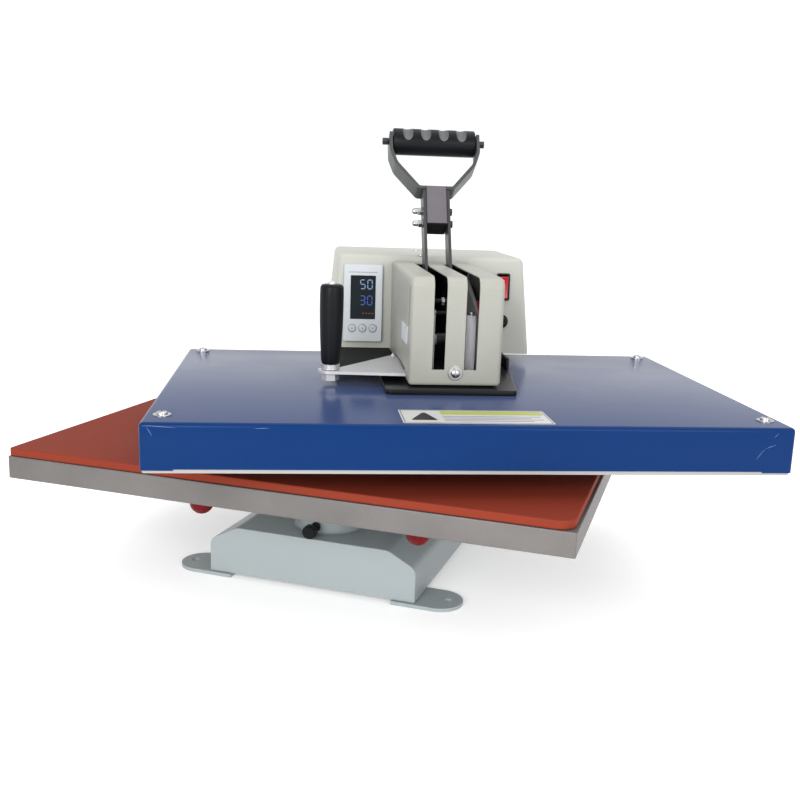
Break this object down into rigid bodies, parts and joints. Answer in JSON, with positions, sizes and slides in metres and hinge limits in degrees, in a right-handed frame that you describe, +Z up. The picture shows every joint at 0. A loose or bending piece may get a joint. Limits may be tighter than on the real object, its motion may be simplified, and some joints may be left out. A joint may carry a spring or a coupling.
{
  "type": "heat press",
  "caption": "Swing-away heat press: heated platen under a blue cover on a head that swings on a rear post, toggle lever with finger grip, controller, pad on a fixed lower platen.",
  "frame": {"origin": "middle of the bounding box in plan, on the table", "axes": "+Z up; the base and lower platen lie along the axes with the operator at -Y; the head stands swung 24 degrees anticlockwise"},
  "size_m": [0.779, 0.6786, 0.5095],
  "materials": {
    "blue_paint": "satin enamel",
    "beige_paint": "satin powder coat",
    "grey_paint": "satin powder coat",
    "black_paint": "gloss enamel",
    "aluminium": "machined, worn",
    "silicone": "matt silicone sheet",
    "bright_steel": "zinc plated",
    "dark_steel": "black oxide",
    "bronze": "oiled bronze",
    "black_plastic": "moulded",
    "white_plastic": "moulded",
    "display": "tinted window",
    "red_plastic": "moulded",
    "mica": "mica board"
  },
  "bodies": {
    "base": {"base_shell": "grey_paint", "foot_plate_front_left": "grey_paint", "foot_plate_front_right": "grey_paint", "foot_plate_rear_left": "grey_paint", "foot_plate_rear_right": "grey_paint", "platen_column": "grey_paint", "platen_carrier": "grey_paint", "post_flange": "grey_paint", "swing_post": "bright_steel", "post_collar": "dark_steel", "lower_platen": "aluminium", "silicone_pad": "silicone"},
    "lock_knob": {"platen_lock_knob": "black_plastic"},
    "clamp_left": {"clamp_knob_left": "red_plastic"},
    "clamp_right": {"clamp_knob_right": "red_plastic"},
    "head": {"swing_hub": "black_paint", "hub_bush_lower": "bronze", "hub_bush_upper": "bronze", "frame_side_left": "black_paint", "frame_side_right": "black_paint", "frame_cross_plate": "black_paint", "lever_pivot_pin_left": "bright_steel", "lever_pivot_pin_right": "bright_steel", "guide_sleeve_left": "bright_steel", "guide_sleeve_right": "bright_steel", "mechanism_cover": "beige_paint", "housing_screw": "bright_steel", "control_box_shell": "beige_paint", "control_box_floor": "black_paint", "controller_bezel": "white_plastic", "display_window": "display", "power_switch_frame": "black_plastic", "fuse_holder": "black_plastic", "cable_gland": "black_plastic", "handle_arm": "bright_steel", "handle_ferrule": "bright_steel", "handle_spindle": "bright_steel"},
    "grip": {"handle_grip": "black_plastic"},
    "rocker": {"power_rocker": "red_plastic"},
    "fuse": {"fuse_cap": "black_plastic"},
    "set_button": {"set_button": "white_plastic"},
    "down_button": {"down_button": "white_plastic"},
    "up_button": {"up_button": "white_plastic"},
    "lever": {"lever_bar_left": "dark_steel", "lever_bar_right": "dark_steel", "crank_pin": "bright_steel", "lever_stem": "dark_steel", "stem_bolt_lower": "bright_steel", "stem_bolt_upper": "bright_steel", "d_bracket": "dark_steel", "d_grip": "black_plastic", "d_grip_bolt": "dark_steel"},
    "link": {"toggle_link": "dark_steel"},
    "press": {"mounting_plate": "black_paint", "crosshead": "dark_steel", "guide_rod_left": "bright_steel", "guide_rod_right": "bright_steel", "top_cover": "blue_paint", "heat_platen": "aluminium", "heating_element": "mica"}
  },
  "joints": [
    {"name": "head_swing", "type": "hinge", "parent": "base", "child": "head", "pos_m": [-0.08946, 0.23461, 0.25], "axis": [0, 0, 1], "range_deg": [-24, 96]},
    {"name": "lever_pull", "type": "hinge", "parent": "head", "child": "lever", "pos_m": [0.00031, 0.033, 0.2592], "axis": [0.9135, 0.4067, 0], "range_deg": [0, 115]},
    {"name": "platen_press", "type": "slide", "parent": "head", "child": "press", "axis": [0, 0, -1], "range_m": [0, 0.0233]},
    {"name": "toggle_fold", "type": "hinge", "parent": "lever", "child": "link", "pos_m": [0.0054, 0.02157, 0.26503], "axis": [0.9135, 0.4067, 0], "range_deg": [-147.8, 0]},
    {"name": "grip_spin", "type": "hinge", "parent": "head", "child": "grip", "pos_m": [-0.08543, -0.09527, 0.29], "axis": [0, 0, 1], "continuous": true},
    {"name": "rocker_tilt", "type": "hinge", "parent": "head", "child": "rocker", "pos_m": [0.04037, 0.16429, 0.31726], "axis": [0.9135, 0.4067, 0], "range_deg": [-14, 0]},
    {"name": "fuse_cap_turn", "type": "hinge", "parent": "head", "child": "fuse", "pos_m": [0.04535, 0.15925, 0.27386], "axis": [0.4053, -0.9104, 0.083], "range_deg": [0, 90]},
    {"name": "set_button_press", "type": "slide", "parent": "head", "child": "set_button", "axis": [-0.4053, 0.9104, -0.083], "range_m": [0, 0.001], "stiffness_N_per_m": 400},
    {"name": "down_button_press", "type": "slide", "parent": "head", "child": "down_button", "axis": [-0.4053, 0.9104, -0.083], "range_m": [0, 0.001], "stiffness_N_per_m": 400},
    {"name": "up_button_press", "type": "slide", "parent": "head", "child": "up_button", "axis": [-0.4053, 0.9104, -0.083], "range_m": [0, 0.001], "stiffness_N_per_m": 400},
    {"name": "lock_knob_turn", "type": "hinge", "parent": "base", "child": "lock_knob", "pos_m": [-0.08946, -0.11439, 0.0675], "axis": [0, -1, 0], "range_deg": [-180, 180]},
    {"name": "clamp_left_turn", "type": "hinge", "parent": "base", "child": "clamp_left", "pos_m": [-0.21546, -0.14638, 0.088], "axis": [0, 0, 1], "range_deg": [-180, 180]},
    {"name": "clamp_right_turn", "type": "hinge", "parent": "base", "child": "clamp_right", "pos_m": [0.03654, -0.14638, 0.088], "axis": [0, 0, 1], "range_deg": [-180, 180]}
  ],
  "couplings": [
    {"joint": "platen_press", "follows": "lever_pull", "m_per_rad": 0.011607},
    {"joint": "toggle_fold", "follows": "lever_pull", "ratio": -1.2838}
  ]
}
